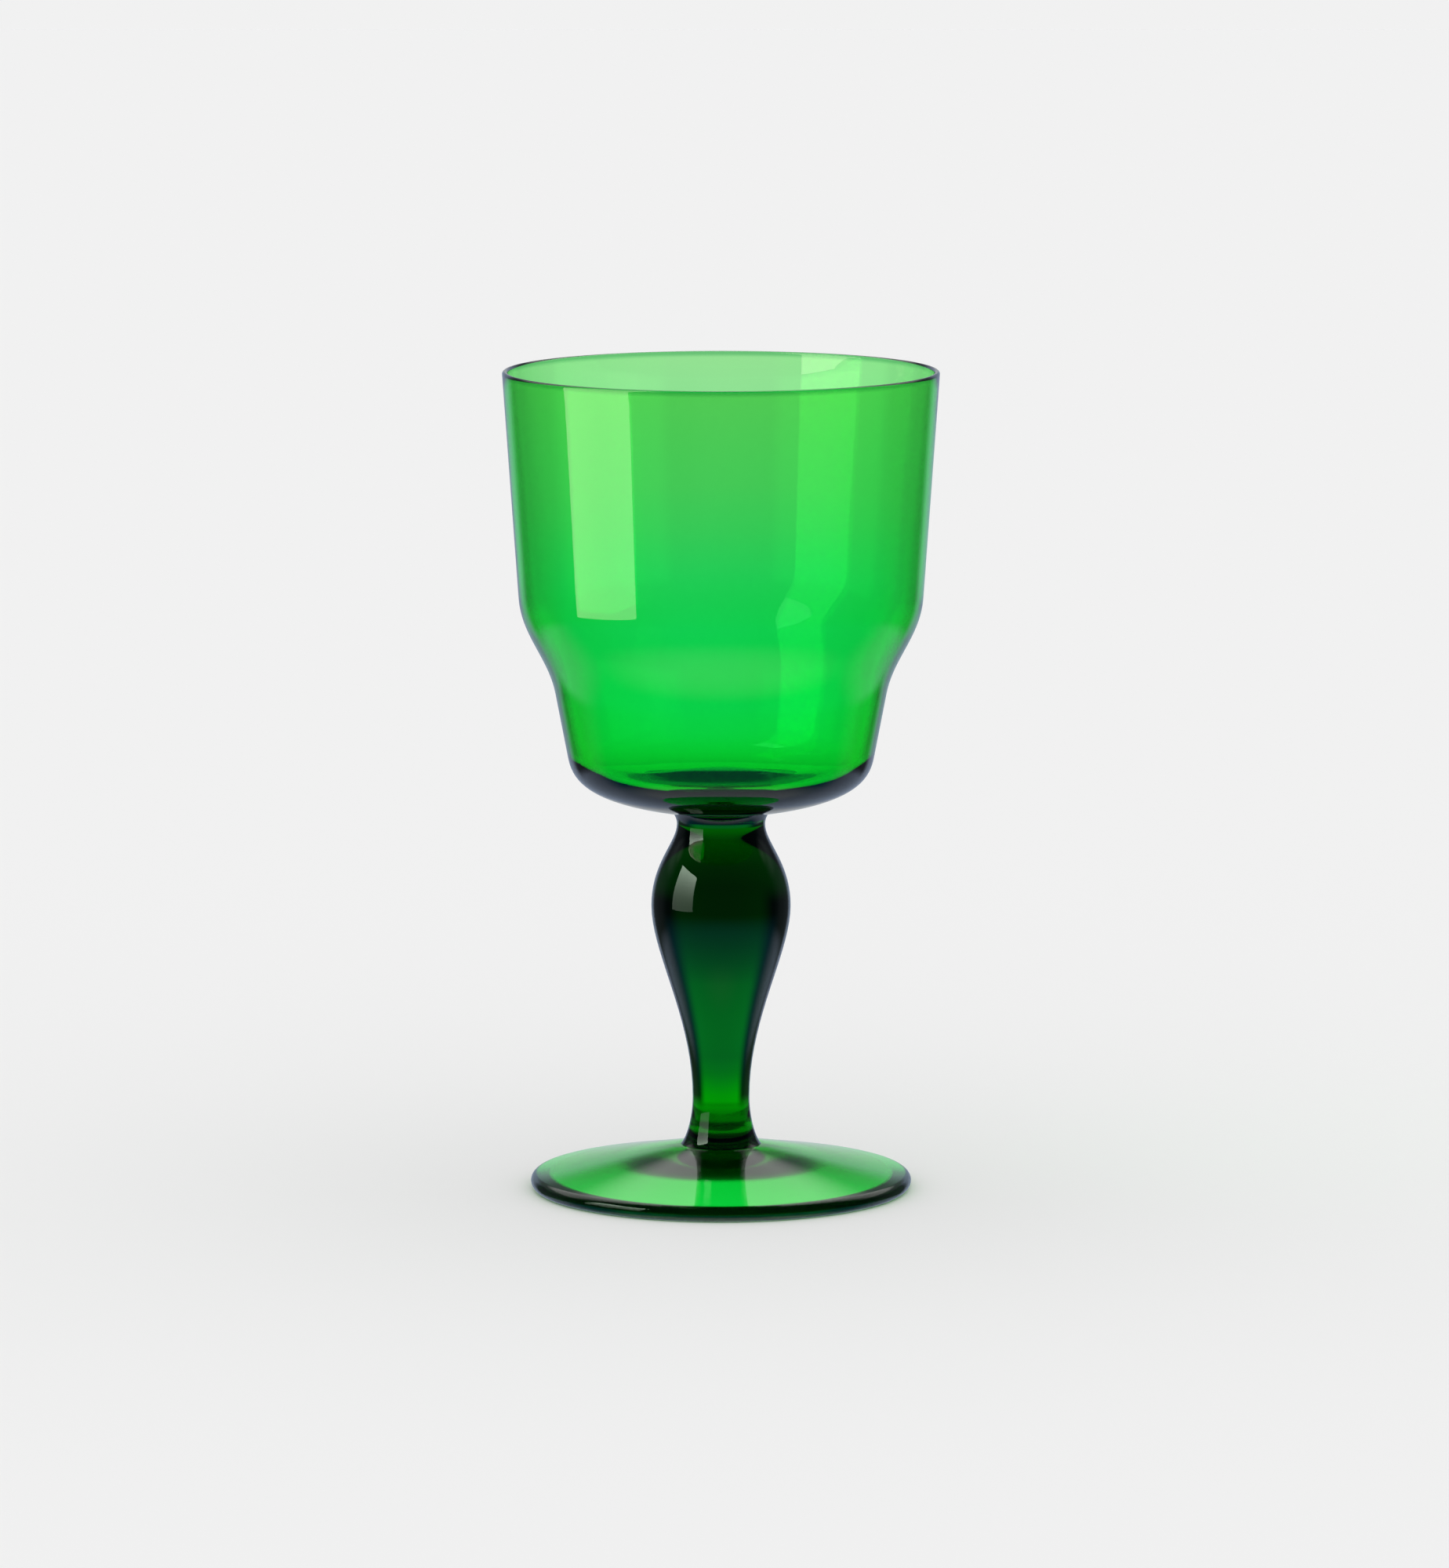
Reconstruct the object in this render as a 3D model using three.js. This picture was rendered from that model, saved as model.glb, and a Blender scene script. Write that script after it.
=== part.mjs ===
// A stem glass in coloured glass: a stepped bowl, a solid baluster stem and a round foot.
// Each piece is a gather of glass turned about one upright axis. The pieces meet on flat seats,
// where the hot glass is joined. Millimetres, +Z up, origin under the middle of the foot.

import * as THREE from 'three';

// Foot
const FOOT_DIAMETER = 71.5;
const FOOT_EDGE_THICKNESS = 2.9;
const FOOT_REST_RING_WIDTH = 2.6;
const FOOT_HOLLOW_DEPTH = 3.2;
const FOOT_HOLLOW_KNEE_DIAMETER = 40.0;
const FOOT_HEIGHT = 8.3;

// Stem, from the foot up
const STEM_BASE_DIAMETER = 15.0;
const STEM_WAIST_DIAMETER = 10.66;
const STEM_BULB_DIAMETER = 26.1;
const STEM_NECK_DIAMETER = 16.5;
const STEM_HEAD_DIAMETER = 18.6;
const STEM_BASE_FLARE_HEIGHT = 8.9;
const STEM_TAPER_HEIGHT = 36.4;
const STEM_SHOULDER_HEIGHT = 15.4;
const STEM_HEAD_FLARE_HEIGHT = 2.5;

// Bowl, outside, from the stem up
const BOWL_BASE_DIAMETER = 57.1;
const BOWL_STEP_DIAMETER = 61.8;
const BOWL_SHOULDER_DIAMETER = 75.4;
const BOWL_RIM_DIAMETER = 81.26;
const BOWL_BASE_HEIGHT = 10.0;
const BOWL_LOWER_WALL_HEIGHT = 12.2;
const BOWL_STEP_HEIGHT = 17.9;
const BOWL_UPPER_WALL_HEIGHT = 42.4;

// Bowl, thickness of the glass
const BOWL_FLOOR_THICKNESS = 5.7;
const BOWL_FLOOR_RING_DIAMETER = 29.0;
const BOWL_FLOOR_RISE = 2.1;
const BOWL_LOWER_WALL_THICKNESS = 1.6;
const BOWL_UPPER_WALL_THICKNESS = 1.45;
const BOWL_LIP_THICKNESS = 1.05;
const BOWL_STEP_INNER_LIFT = 0.8;
const BOWL_CORNER_INNER_LIFT = 1.5;

// How far each curve holds its end direction, as a share of the run that it spans
const WAIST_FULLNESS = 0.42;
const BULB_FULLNESS_BELOW = 0.25;
const BULB_FULLNESS_ABOVE = 0.52;
const NECK_FULLNESS = 0.23;
const FLARE_FULLNESS = 0.45;
const FLARE_SLOPE = 1.0;
const STEP_FULLNESS = 0.39;
const UNDERSIDE_FULLNESS = 0.73;
const UNDERSIDE_SLOPE = 0.155;
const CORNER_FULLNESS = 0.53;
const FLOOR_FULLNESS = 0.6;
const RISE_FULLNESS_OUTSIDE = 0.35;
const RISE_FULLNESS_MIDDLE = 0.7;
const CORNER_INNER_FULLNESS = 0.8;
const HOLLOW_FULLNESS = 0.5;
const KNEE_FULLNESS = 0.2;
const FOOT_TOP_FULLNESS = 0.33;
const FOOT_TOP_SLOPE = 0.19;

// Facets
const ROUND_SEGMENTS = 60;
const STEM_SEGMENTS = 40;
const LONG_CURVE_STEPS = 10;
const SHORT_CURVE_STEPS = 5;

// Heights at which the pieces meet, and the levels of the bowl
const FOOT_TOP = FOOT_HEIGHT;
const WAIST_LEVEL = FOOT_TOP + STEM_BASE_FLARE_HEIGHT;
const BULB_LEVEL = WAIST_LEVEL + STEM_TAPER_HEIGHT;
const NECK_LEVEL = BULB_LEVEL + STEM_SHOULDER_HEIGHT;
const STEM_TOP = NECK_LEVEL + STEM_HEAD_FLARE_HEIGHT;
const CORNER_LEVEL = STEM_TOP + BOWL_BASE_HEIGHT;
const STEP_LEVEL = CORNER_LEVEL + BOWL_LOWER_WALL_HEIGHT;
const SHOULDER_LEVEL = STEP_LEVEL + BOWL_STEP_HEIGHT;
const RIM_LEVEL = SHOULDER_LEVEL + BOWL_UPPER_WALL_HEIGHT;
const FLOOR_LEVEL = STEM_TOP + BOWL_FLOOR_THICKNESS;

// A point of a profile: distance from the axis, then height
function at(radius, height) {
  return new THREE.Vector2(radius, height);
}

// The unit direction from one profile point to another
function direction(from, to) {
  return to.clone().sub(from).normalize();
}

// The point that lies a distance along a direction
function along(point, heading, distance) {
  return point.clone().addScaledVector(heading, distance);
}

// A smooth run between two profile points, given by its two control points
function sweep(start, startControl, endControl, end, steps) {
  return new THREE.CubicBezierCurve(start, startControl, endControl, end).getPoints(steps);
}

// A round run about a centre, anticlockwise from one angle to another
function round(centre, radius, fromAngle, toAngle, steps) {
  return new THREE.EllipseCurve(centre.x, centre.y, radius, radius, fromAngle, toAngle).getPoints(steps);
}

// Runs joined end to end, without the points that two runs share
function outline(...runs) {
  const joined = [];
  for (const point of runs.flat()) {
    const last = joined.at(-1);
    if (!last || last.distanceTo(point) > 1e-6) {
      joined.push(point);
    }
  }
  return joined;
}

// A solid turned about the Z axis from an anticlockwise profile
function turned(name, profile, segments, material) {
  const geometry = new THREE.LatheGeometry(profile, segments);
  geometry.rotateX(Math.PI / 2);
  const mesh = new THREE.Mesh(geometry, material);
  mesh.name = name;
  return mesh;
}

function colouredGlass(colour) {
  return new THREE.MeshStandardMaterial({
    color: colour,
    roughness: 0.03,
    metalness: 0,
    transparent: true,
    opacity: 0.6,
  });
}

// The foot: a hollow underside that follows the top from its knee out, a narrow flat ring to
// rest on, a rounded edge and a sloping top
function footProfile() {
  const edgeRadius = FOOT_EDGE_THICKNESS / 2;
  const ringOuter = FOOT_DIAMETER / 2 - edgeRadius;
  const ringInner = ringOuter - FOOT_REST_RING_WIDTH;
  const kneeRadius = FOOT_HOLLOW_KNEE_DIAMETER / 2;
  const knee = at(kneeRadius, (ringInner - kneeRadius) * FOOT_TOP_SLOPE);
  const kneeReach = kneeRadius * KNEE_FULLNESS;
  const hollow = sweep(
    at(0, FOOT_HOLLOW_DEPTH),
    at(kneeRadius * HOLLOW_FULLNESS, FOOT_HOLLOW_DEPTH),
    at(knee.x - kneeReach, knee.y + kneeReach * FOOT_TOP_SLOPE),
    knee,
    LONG_CURVE_STEPS,
  );
  const topAngle = Math.PI / 2 - Math.atan(FOOT_TOP_SLOPE);
  const edge = round(at(ringOuter, edgeRadius), edgeRadius, -Math.PI / 2, topAngle, SHORT_CURVE_STEPS);
  const edgeEnd = edge.at(-1);
  const seat = at(STEM_BASE_DIAMETER / 2, FOOT_TOP);
  const reach = (edgeEnd.x - seat.x) * FOOT_TOP_FULLNESS;
  const top = sweep(
    edgeEnd,
    at(edgeEnd.x - reach, edgeEnd.y + reach * FOOT_TOP_SLOPE),
    at(seat.x + reach, seat.y - reach * FOOT_TOP_SLOPE),
    seat,
    SHORT_CURVE_STEPS,
  );
  return outline(hollow, [at(ringInner, 0)], edge, top, [at(0, FOOT_TOP)]);
}

// The stem: base flare, waist, taper, bulb, neck and head, upright where each is widest or narrowest
function stemProfile() {
  const base = at(STEM_BASE_DIAMETER / 2, FOOT_TOP);
  const waist = at(STEM_WAIST_DIAMETER / 2, WAIST_LEVEL);
  const bulb = at(STEM_BULB_DIAMETER / 2, BULB_LEVEL);
  const neck = at(STEM_NECK_DIAMETER / 2, NECK_LEVEL);
  const head = at(STEM_HEAD_DIAMETER / 2, STEM_TOP);
  const baseReach = (base.x - waist.x) * FLARE_FULLNESS;
  const headReach = (head.x - neck.x) * FLARE_FULLNESS;
  const up = at(0, 1);
  const baseFlare = sweep(
    base,
    at(base.x - baseReach, base.y + baseReach * FLARE_SLOPE),
    along(waist, up, -STEM_BASE_FLARE_HEIGHT * FLARE_FULLNESS),
    waist,
    SHORT_CURVE_STEPS,
  );
  const taper = sweep(
    waist,
    along(waist, up, STEM_TAPER_HEIGHT * WAIST_FULLNESS),
    along(bulb, up, -STEM_TAPER_HEIGHT * BULB_FULLNESS_BELOW),
    bulb,
    LONG_CURVE_STEPS,
  );
  const shoulder = sweep(
    bulb,
    along(bulb, up, STEM_SHOULDER_HEIGHT * BULB_FULLNESS_ABOVE),
    along(neck, up, -STEM_SHOULDER_HEIGHT * NECK_FULLNESS),
    neck,
    LONG_CURVE_STEPS,
  );
  const headFlare = sweep(
    neck,
    along(neck, up, STEM_HEAD_FLARE_HEIGHT * FLARE_FULLNESS),
    at(head.x - headReach, head.y - headReach * FLARE_SLOPE),
    head,
    SHORT_CURVE_STEPS,
  );
  return outline([at(0, FOOT_TOP)], baseFlare, taper, shoulder, headFlare, [at(0, STEM_TOP)]);
}

// The bowl: up the outside from the stem, over the lip and down the inside to the floor, which
// the hot stem pushed up a little in the middle
function bowlProfile() {
  const seat = at(STEM_HEAD_DIAMETER / 2, STEM_TOP);
  const corner = at(BOWL_BASE_DIAMETER / 2, CORNER_LEVEL);
  const step = at(BOWL_STEP_DIAMETER / 2, STEP_LEVEL);
  const shoulder = at(BOWL_SHOULDER_DIAMETER / 2, SHOULDER_LEVEL);
  const lipRadius = BOWL_LIP_THICKNESS / 2;
  const lipCentre = at(BOWL_RIM_DIAMETER / 2 - lipRadius, RIM_LEVEL - lipRadius);
  const lowerWall = direction(corner, step);
  const upperWall = direction(shoulder, at(BOWL_RIM_DIAMETER / 2, lipCentre.y));
  const stepReach = BOWL_STEP_HEIGHT * STEP_FULLNESS;
  const underside = direction(at(0, 0), at(1, UNDERSIDE_SLOPE));

  const base = sweep(
    seat,
    along(seat, underside, (corner.x - seat.x) * UNDERSIDE_FULLNESS),
    along(corner, lowerWall, -BOWL_BASE_HEIGHT * CORNER_FULLNESS),
    corner,
    LONG_CURVE_STEPS,
  );
  const outerStep = sweep(
    step,
    along(step, lowerWall, stepReach),
    along(shoulder, upperWall, -stepReach),
    shoulder,
    LONG_CURVE_STEPS,
  );
  const lip = round(lipCentre, lipRadius, 0, Math.PI, SHORT_CURVE_STEPS);

  const innerShoulder = at(shoulder.x - BOWL_UPPER_WALL_THICKNESS, shoulder.y + BOWL_STEP_INNER_LIFT);
  const innerStep = at(step.x - BOWL_LOWER_WALL_THICKNESS, step.y + BOWL_STEP_INNER_LIFT);
  const innerCorner = at(corner.x - BOWL_LOWER_WALL_THICKNESS, corner.y + BOWL_CORNER_INNER_LIFT);
  const floorRing = at(BOWL_FLOOR_RING_DIAMETER / 2, FLOOR_LEVEL);
  const floorMiddle = at(0, FLOOR_LEVEL + BOWL_FLOOR_RISE);
  const cornerDrop = (innerCorner.y - FLOOR_LEVEL) * CORNER_INNER_FULLNESS;
  const innerSweep = sweep(
    innerShoulder,
    along(innerShoulder, upperWall, -stepReach),
    along(innerStep, lowerWall, stepReach),
    innerStep,
    LONG_CURVE_STEPS,
  );
  const floor = sweep(
    innerCorner,
    along(innerCorner, lowerWall, -cornerDrop),
    at(floorRing.x + (innerCorner.x - floorRing.x) * FLOOR_FULLNESS, FLOOR_LEVEL),
    floorRing,
    LONG_CURVE_STEPS,
  );
  const rise = sweep(
    floorRing,
    at(floorRing.x * (1 - RISE_FULLNESS_OUTSIDE), FLOOR_LEVEL),
    at(floorRing.x * RISE_FULLNESS_MIDDLE, floorMiddle.y),
    floorMiddle,
    LONG_CURVE_STEPS,
  );
  return outline([at(0, STEM_TOP)], base, outerStep, lip, innerSweep, floor, rise);
}

const glass = new THREE.Group();
glass.name = 'stem_glass';
glass.add(turned('foot', footProfile(), ROUND_SEGMENTS, colouredGlass(0x2fbf58)));
glass.add(turned('stem', stemProfile(), STEM_SEGMENTS, colouredGlass(0x04591f)));
glass.add(turned('bowl', bowlProfile(), ROUND_SEGMENTS, colouredGlass(0x12c84a)));

export default glass;
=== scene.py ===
# %% [markdown]
# # A green stem glass
#
# A stem glass is three gathers of hot glass: a blown bowl, a solid stem and a flat foot. Each one is
# round about the same upright axis, and the three are joined while they are soft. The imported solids
# give their places and sizes, in metres, with the glass standing on z = 0. This lesson turns each piece
# again as a fine smooth surface, because glass shows every facet, and then gives it real glass.

# %% Load the solids and keep their box
import math

import bpy
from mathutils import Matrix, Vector


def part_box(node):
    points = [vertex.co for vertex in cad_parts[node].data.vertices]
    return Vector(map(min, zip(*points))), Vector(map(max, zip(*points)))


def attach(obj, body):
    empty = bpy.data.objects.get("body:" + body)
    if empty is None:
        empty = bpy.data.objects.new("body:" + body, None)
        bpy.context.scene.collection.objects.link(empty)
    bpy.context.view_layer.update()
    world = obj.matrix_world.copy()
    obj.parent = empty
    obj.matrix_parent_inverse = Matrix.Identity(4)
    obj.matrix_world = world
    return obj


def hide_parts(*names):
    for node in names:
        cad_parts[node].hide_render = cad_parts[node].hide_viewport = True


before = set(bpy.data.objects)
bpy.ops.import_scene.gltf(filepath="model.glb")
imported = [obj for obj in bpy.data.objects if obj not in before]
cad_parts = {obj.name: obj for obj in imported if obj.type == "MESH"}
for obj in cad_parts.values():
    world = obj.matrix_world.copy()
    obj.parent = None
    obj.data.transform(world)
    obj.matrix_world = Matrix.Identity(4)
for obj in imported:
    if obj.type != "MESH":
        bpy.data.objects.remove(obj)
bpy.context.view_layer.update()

# %% [markdown]
# ## Sizes that the solids give
#
# The boxes of the solids give the outer sizes and the two levels where the pieces are joined. They could
# be typed again, but then a change to the solids would leave this scene behind. What a box can't show,
# such as the waist of the stem or the thickness of a wall, is written with each piece below, in metres.

# %% Outer sizes and joint levels
MM = 0.001

FOOT_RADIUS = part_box("foot")[1].x
FOOT_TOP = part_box("foot")[1].z
BULB_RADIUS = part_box("stem")[1].x
STEM_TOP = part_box("stem")[1].z
RIM_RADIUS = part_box("bowl")[1].x
RIM_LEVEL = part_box("bowl")[1].z


def in_mm(length):
    return round(length / MM, 2)


print("radii of foot, bulb, rim:", [in_mm(radius) for radius in (FOOT_RADIUS, BULB_RADIUS, RIM_RADIUS)])
print("joints at:", in_mm(FOOT_TOP), "and", in_mm(STEM_TOP), "mm, rim at", in_mm(RIM_LEVEL), "mm")

# %% [markdown]
# ## Drawing a profile
#
# A profile is half of the cut-through outline, on one side of the axis. A polyline would need hundreds of
# points to look smooth, while a Bezier spline needs one knot wherever the outline changes its mind: a
# widest place, a narrowest place, or where a straight wall starts. Handles carry the direction at a
# knot. Each run below is one Bezier segment of four points: start, two controls, end. A round edge is a
# quarter circle, which a Bezier segment meets to within a few parts in ten thousand.

# %% Helpers for the runs of a profile
# Handle length that makes a Bezier segment a quarter circle, as a share of the radius
QUARTER_TURN = 0.5523


def at(radius, height):
    return Vector((radius, 0.0, height))


def straight(start, end):
    return [(start, start.lerp(end, 1 / 3), start.lerp(end, 2 / 3), end)]


def sweep(start, start_control, end_control, end):
    return [(start, start_control, end_control, end)]


def quarter(centre, start, end):
    """A quarter circle about centre, from start to end."""
    reach_start = (end - centre) * QUARTER_TURN
    reach_end = (start - centre) * QUARTER_TURN
    return [(start, start + reach_start, end + reach_end, end)]


def middle_of(run):
    """The point half way along one Bezier segment."""
    start, start_control, end_control, end = run
    return (start + 3 * start_control + 3 * end_control + end) / 8


unit_quarter = quarter(at(0, 0), at(1, 0), at(0, 1))
print("middle of a unit quarter, from its centre:", round(middle_of(unit_quarter[0]).length, 5))

# %% [markdown]
# ## The foot's profile
#
# The foot is a disc spun out of a small gather. Its underside is hollow, so that it stands on a narrow
# ring and doesn't rock. The edge is fire polished to a full round, and the top slopes up to the stem.
# From the ring to a knee the hollow runs at the slope of the top, so the outer foot is one even sheet.
# Inside the knee it levels off. That change of slope is what draws a dark oval round the stem.

# %% Profile of the foot, from the middle of the underside out, round and back in
FOOT_EDGE = 2.9 * MM
FOOT_REST_RING = 2.6 * MM
FOOT_HOLLOW = 3.2 * MM
FOOT_KNEE_RADIUS = 20.0 * MM
FOOT_SLOPE = 0.19
STEM_BASE_RADIUS = 7.5 * MM
# How far a curve holds its end direction, as a share of the run that it spans
HOLLOW_FULLNESS = 0.5
KNEE_FULLNESS = 0.2


def foot_runs():
    edge = FOOT_EDGE / 2
    ring_outer = FOOT_RADIUS - edge
    ring_inner = ring_outer - FOOT_REST_RING
    centre = at(ring_outer, edge)
    cone = Vector((1, 0, -FOOT_SLOPE))
    knee = at(FOOT_KNEE_RADIUS, (ring_inner - FOOT_KNEE_RADIUS) * FOOT_SLOPE)
    side = at(FOOT_RADIUS, edge)
    tilt = math.atan(FOOT_SLOPE)
    crest = centre + Vector((math.sin(tilt), 0, math.cos(tilt))) * edge
    bend = 4 / 3 * math.tan((math.pi / 2 - tilt) / 4) * edge
    slope = Vector((-math.cos(tilt), 0, math.sin(tilt)))
    seat = at(STEM_BASE_RADIUS, FOOT_TOP)
    reach = (crest.x - seat.x) / 3
    drop = Vector((reach, 0, -reach * FOOT_SLOPE))
    middle = at(0, FOOT_HOLLOW)
    return (
        sweep(
            middle,
            middle + at(knee.x * HOLLOW_FULLNESS, 0),
            knee - cone * knee.x * KNEE_FULLNESS,
            knee,
        )
        + straight(knee, at(ring_inner, 0))
        + straight(at(ring_inner, 0), at(ring_outer, 0))
        + quarter(centre, at(ring_outer, 0), side)
        + sweep(side, side + Vector((0, 0, bend)), crest - slope * bend, crest)
        + sweep(crest, crest - drop, seat + drop, seat)
        + straight(seat, at(0, FOOT_TOP))
    )


FOOT_OUTLINE = foot_runs()
print("foot profile:", len(FOOT_OUTLINE), "runs, hollow", in_mm(FOOT_OUTLINE[0][0].z), "mm deep")

# %% [markdown]
# ## The stem's profile
#
# The stem is a baluster: a flared base, a waist, a long taper up to a full bulb, a neck, and a flared
# head under the bowl. At each widest and narrowest place the outline runs upright, so every handle
# there points straight up or down, and only its length shapes the curve.
#
# Fused glass has no surface inside it. The stem ends a hair short of the foot and of the bowl, so that
# no two faces lie in one plane, where Cycles couldn't tell which comes first.

# %% Profile of the stem, from the foot up
WAIST_RADIUS = 5.33 * MM
NECK_RADIUS = 8.25 * MM
HEAD_RADIUS = 9.3 * MM
BASE_FLARE = 8.9 * MM
TAPER = 36.4 * MM
SHOULDER = 15.4 * MM
HEAD_FLARE = 2.5 * MM
JOINT_ROOM = 0.03 * MM
FLARE_FULLNESS = 0.45
WAIST_FULLNESS = 0.42
BULB_FULLNESS_BELOW = 0.25
BULB_FULLNESS_ABOVE = 0.52
NECK_FULLNESS = 0.23


def stem_runs():
    bottom = FOOT_TOP + JOINT_ROOM
    top = STEM_TOP - JOINT_ROOM
    base = at(STEM_BASE_RADIUS, bottom)
    waist = at(WAIST_RADIUS, FOOT_TOP + BASE_FLARE)
    bulb = at(BULB_RADIUS, waist.z + TAPER)
    neck = at(NECK_RADIUS, bulb.z + SHOULDER)
    head = at(HEAD_RADIUS, top)
    up = Vector((0, 0, 1))
    base_reach = (base.x - waist.x) * FLARE_FULLNESS
    head_reach = (head.x - neck.x) * FLARE_FULLNESS
    base_control = base + Vector((-base_reach, 0, base_reach))
    head_control = head - Vector((head_reach, 0, head_reach))
    return (
        straight(at(0, bottom), base)
        + sweep(base, base_control, waist - up * BASE_FLARE * FLARE_FULLNESS, waist)
        + sweep(waist, waist + up * TAPER * WAIST_FULLNESS, bulb - up * TAPER * BULB_FULLNESS_BELOW, bulb)
        + sweep(bulb, bulb + up * SHOULDER * BULB_FULLNESS_ABOVE, neck - up * SHOULDER * NECK_FULLNESS, neck)
        + sweep(neck, neck + up * HEAD_FLARE * FLARE_FULLNESS, head_control, head)
        + straight(head, at(0, top))
    )


STEM_OUTLINE = stem_runs()
print("stem profile:", len(STEM_OUTLINE), "runs, bulb at", in_mm(STEM_OUTLINE[2][3].z), "mm")

# %% [markdown]
# ## The bowl's profile
#
# The bowl is blown into a mould that gives it a wide upper wall, an S-shaped step and a narrow lower
# wall. The inside isn't touched by the mould: it follows the outside at the thickness of the glass and
# is softer at the step. The floor is the thickest place, and the hot stem has pushed its middle up a
# little. Solidify could give an even wall in one step, but not a floor and a lip of their own thickness,
# so the profile goes up the outside, over the rounded lip and down the inside.

# %% Sizes of the bowl
CORNER_RADIUS = 28.55 * MM
STEP_RADIUS = 30.9 * MM
SHOULDER_RADIUS = 37.7 * MM
BASE_HEIGHT = 10.0 * MM
LOWER_WALL = 12.2 * MM
STEP_HEIGHT = 17.9 * MM
FLOOR_THICKNESS = 5.7 * MM
FLOOR_RING_RADIUS = 14.5 * MM
FLOOR_RISE = 2.1 * MM
LOWER_THICKNESS = 1.6 * MM
UPPER_THICKNESS = 1.45 * MM
LIP_THICKNESS = 1.05 * MM
STEP_LIFT = 0.8 * MM
CORNER_LIFT = 1.5 * MM
UNDERSIDE_SLOPE = 0.155
UNDERSIDE_FULLNESS = 0.73
CORNER_FULLNESS = 0.53
STEP_FULLNESS = 0.39
INNER_CORNER_FULLNESS = 0.8
FLOOR_FULLNESS = 0.6
RING_FULLNESS = 0.35
RISE_FULLNESS = 0.7
print("glass at lip, wall and floor:", [in_mm(t) for t in (LIP_THICKNESS, LOWER_THICKNESS, FLOOR_THICKNESS)])


# %% Profile of the bowl, up the outside, over the lip and down the inside
def bowl_runs():
    seat = at(HEAD_RADIUS, STEM_TOP)
    corner = at(CORNER_RADIUS, STEM_TOP + BASE_HEIGHT)
    step = at(STEP_RADIUS, corner.z + LOWER_WALL)
    shoulder = at(SHOULDER_RADIUS, step.z + STEP_HEIGHT)
    lip = LIP_THICKNESS / 2
    lip_centre = at(RIM_RADIUS - lip, RIM_LEVEL - lip)
    lip_outer = at(RIM_RADIUS, lip_centre.z)
    lip_top = at(lip_centre.x, RIM_LEVEL)
    lip_inner = at(lip_centre.x - lip, lip_centre.z)
    lower = (step - corner).normalized()
    upper = (lip_outer - shoulder).normalized()
    reach = STEP_HEIGHT * STEP_FULLNESS
    underside = Vector((1, 0, UNDERSIDE_SLOPE)).normalized()
    seat_control = seat + underside * (corner.x - seat.x) * UNDERSIDE_FULLNESS
    outside = (
        straight(at(0, STEM_TOP), seat)
        + sweep(seat, seat_control, corner - lower * BASE_HEIGHT * CORNER_FULLNESS, corner)
        + straight(corner, step)
        + sweep(step, step + lower * reach, shoulder - upper * reach, shoulder)
        + straight(shoulder, lip_outer)
        + quarter(lip_centre, lip_outer, lip_top)
    )

    inner_shoulder = at(shoulder.x - UPPER_THICKNESS, shoulder.z + STEP_LIFT)
    inner_step = at(step.x - LOWER_THICKNESS, step.z + STEP_LIFT)
    inner_corner = at(corner.x - LOWER_THICKNESS, corner.z + CORNER_LIFT)
    ring = at(FLOOR_RING_RADIUS, STEM_TOP + FLOOR_THICKNESS)
    middle = at(0, ring.z + FLOOR_RISE)
    drop = (inner_corner.z - ring.z) * INNER_CORNER_FULLNESS
    ring_reach = (inner_corner.x - ring.x) * FLOOR_FULLNESS
    ring_control = at(ring.x * (1 - RING_FULLNESS), ring.z)
    middle_control = at(ring.x * RISE_FULLNESS, middle.z)
    inside = (
        quarter(lip_centre, lip_top, lip_inner)
        + straight(lip_inner, inner_shoulder)
        + sweep(inner_shoulder, inner_shoulder - upper * reach, inner_step + lower * reach, inner_step)
        + straight(inner_step, inner_corner)
        + sweep(inner_corner, inner_corner - lower * drop, at(ring.x + ring_reach, ring.z), ring)
        + sweep(ring, ring_control, middle_control, middle)
    )
    return outside, inside


BOWL_OUTSIDE, BOWL_INSIDE = bowl_runs()
print("bowl profile:", len(BOWL_OUTSIDE), "runs outside,", len(BOWL_INSIDE), "inside")

# %% [markdown]
# ## Building node trees from a script
#
# The pieces, their glass and the studio are all node trees. Wiring them by hand in the editor is quick
# once but can't be repeated, so the script does it with a few small helpers. They place a node, feed a
# socket with a plain value or a link, and make the nodes that come up most: sums, ramps and blends.

# %% Helpers for node trees
def add(tree, kind, **settings):
    node = tree.nodes.new(kind)
    for name, value in settings.items():
        setattr(node, name, value)
    return node


def feed(tree, socket, value):
    """Links a socket to another node's output, or gives it a plain value."""
    if isinstance(value, bpy.types.NodeSocket):
        tree.links.new(value, socket)
    else:
        socket.default_value = value


def maths(tree, operation, *values):
    node = add(tree, "ShaderNodeMath", operation=operation)
    for socket, value in zip(node.inputs, values):
        feed(tree, socket, value)
    return node.outputs[0]


def ramp(tree, value, start, full, shape="LINEAR"):
    """Nothing at start, one at full, and in between on the way."""
    node = add(tree, "ShaderNodeMapRange", interpolation_type=shape)
    feed(tree, node.inputs["Value"], value)
    feed(tree, node.inputs["From Min"], start)
    feed(tree, node.inputs["From Max"], full)
    return node.outputs["Result"]


def blend(tree, share, first, second, way="MIX"):
    node = add(tree, "ShaderNodeMix", data_type="RGBA", blend_type=way)
    feed(tree, node.inputs["Factor"], share)
    feed(tree, node.inputs["A"], first)
    feed(tree, node.inputs["B"], second)
    return node.outputs["Result"]


def split(tree, vector):
    node = add(tree, "ShaderNodeSeparateXYZ")
    feed(tree, node.inputs[0], vector)
    return node.outputs


print("node helpers:", [helper.__name__ for helper in (add, feed, maths, ramp, blend, split)])

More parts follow.
